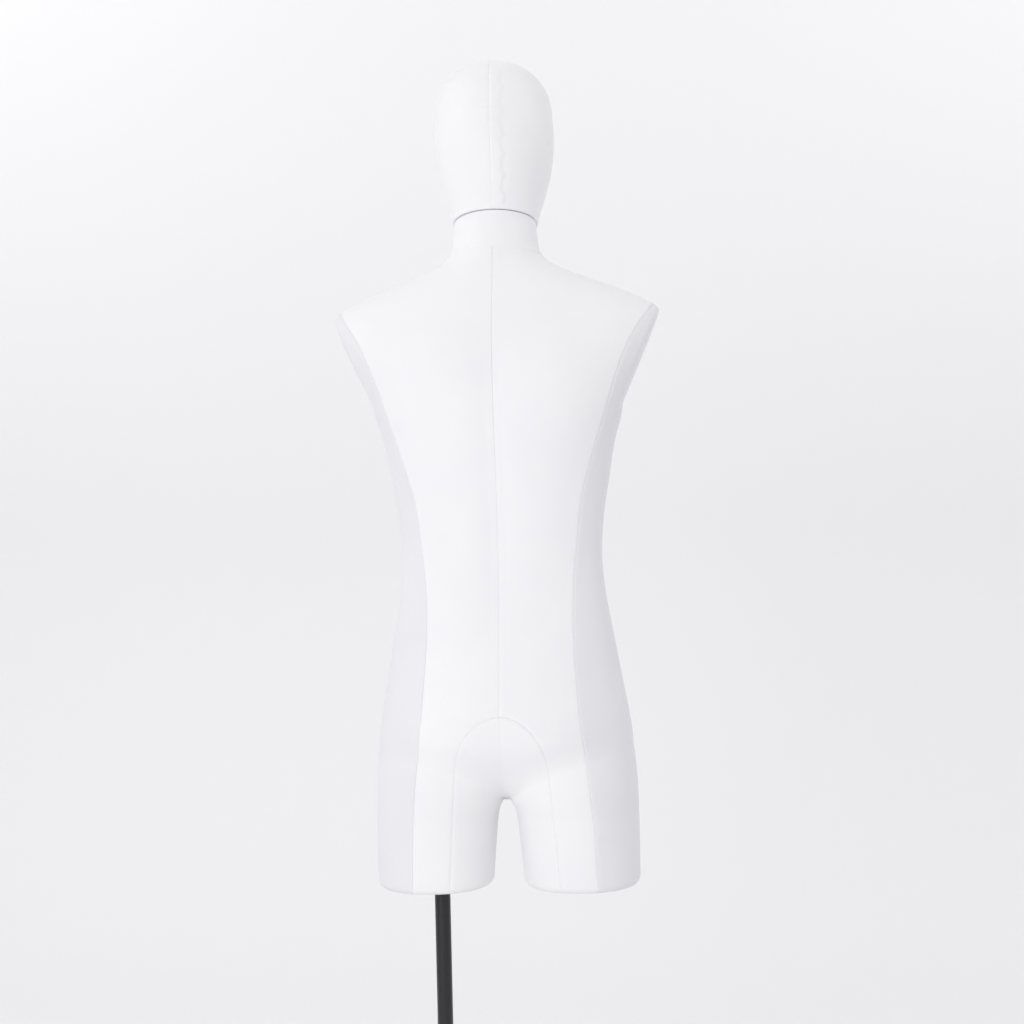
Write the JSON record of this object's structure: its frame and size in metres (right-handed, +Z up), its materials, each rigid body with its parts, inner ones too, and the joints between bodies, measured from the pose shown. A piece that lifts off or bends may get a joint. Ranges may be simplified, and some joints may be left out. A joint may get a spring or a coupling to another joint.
{
  "type": "torso mannequin",
  "caption": "Male torso form covered in white stretch fabric, with a plain egg head that turns, two thigh stumps and no arms, on a black height-adjustable pole with a round base.",
  "frame": {"origin": "on the floor, on the axis of the pole, at the middle of the round base", "axes": "+Z up along the pole, +Y towards the chest, -Y towards the back, +X towards the body's right hand side, where the second thigh is"},
  "size_m": [0.5092, 0.38, 1.8615],
  "materials": {
    "cover_fabric": "matte",
    "moulded_shell": "matte",
    "board": "satin",
    "black_steel": "satin",
    "black_nylon": "satin",
    "zinc_steel": "satin",
    "base_felt": "matte"
  },
  "bodies": {
    "stand": {"base_felt": "base_felt", "base_plate": "black_steel", "base_bolt": "zinc_steel", "base_washer": "zinc_steel", "tube_insert": "zinc_steel", "outer_tube": "black_steel", "guide_bush": "black_nylon", "clamp_collar": "black_nylon"},
    "knob": {"clamp_knob": "black_nylon", "clamp_stud": "zinc_steel"},
    "mast": {"pole": "black_steel", "pole_plug": "black_nylon"},
    "swivel": {"pole_cap": "black_nylon"},
    "torso": {"torso_shell": "moulded_shell", "pole_socket": "zinc_steel", "socket_screw_1": "zinc_steel", "socket_screw_2": "zinc_steel", "socket_screw_3": "zinc_steel", "socket_screw_4": "zinc_steel", "thigh_plate_left": "board", "thigh_plate_right": "board", "neck_plate": "board", "neck_ring": "board", "neck_screw_1": "zinc_steel", "neck_screw_2": "zinc_steel", "neck_screw_3": "zinc_steel", "back_panel_left": "cover_fabric", "back_panel_right": "cover_fabric", "front_panel_left": "cover_fabric", "front_panel_right": "cover_fabric", "side_panel_left": "cover_fabric", "side_panel_right": "cover_fabric", "gusset_left": "cover_fabric", "gusset_right": "cover_fabric", "neck_band": "cover_fabric"},
    "bush": {"neck_bush": "black_nylon"},
    "head": {"head_shell": "moulded_shell", "head_base_plate": "board", "head_spigot": "zinc_steel", "spigot_screw_1": "zinc_steel", "spigot_screw_2": "zinc_steel", "spigot_screw_3": "zinc_steel", "head_cover_left": "cover_fabric", "head_cover_right": "cover_fabric"}
  },
  "joints": [
    {"name": "pole_height", "type": "slide", "parent": "stand", "child": "mast", "axis": [0, 0, 1], "range_m": [-0.07, 0.2]},
    {"name": "knob_turn", "type": "hinge", "parent": "stand", "child": "knob", "pos_m": [0, 0, 0.416], "axis": [1, 0, 0], "continuous": true},
    {"name": "body_turn", "type": "hinge", "parent": "mast", "child": "swivel", "pos_m": [0, 0, 0.8], "axis": [0, 0, 1], "continuous": true},
    {"name": "body_lift", "type": "slide", "parent": "swivel", "child": "torso", "axis": [0, 0, 1], "range_m": [0, 0.12]},
    {"name": "head_turn", "type": "hinge", "parent": "torso", "child": "bush", "pos_m": [0.095, 0.011, 1.628], "axis": [0, 0.1908, 0.9816], "continuous": true},
    {"name": "head_lift", "type": "slide", "parent": "bush", "child": "head", "axis": [0, 0.1908, 0.9816], "range_m": [0, 0.06]}
  ]
}
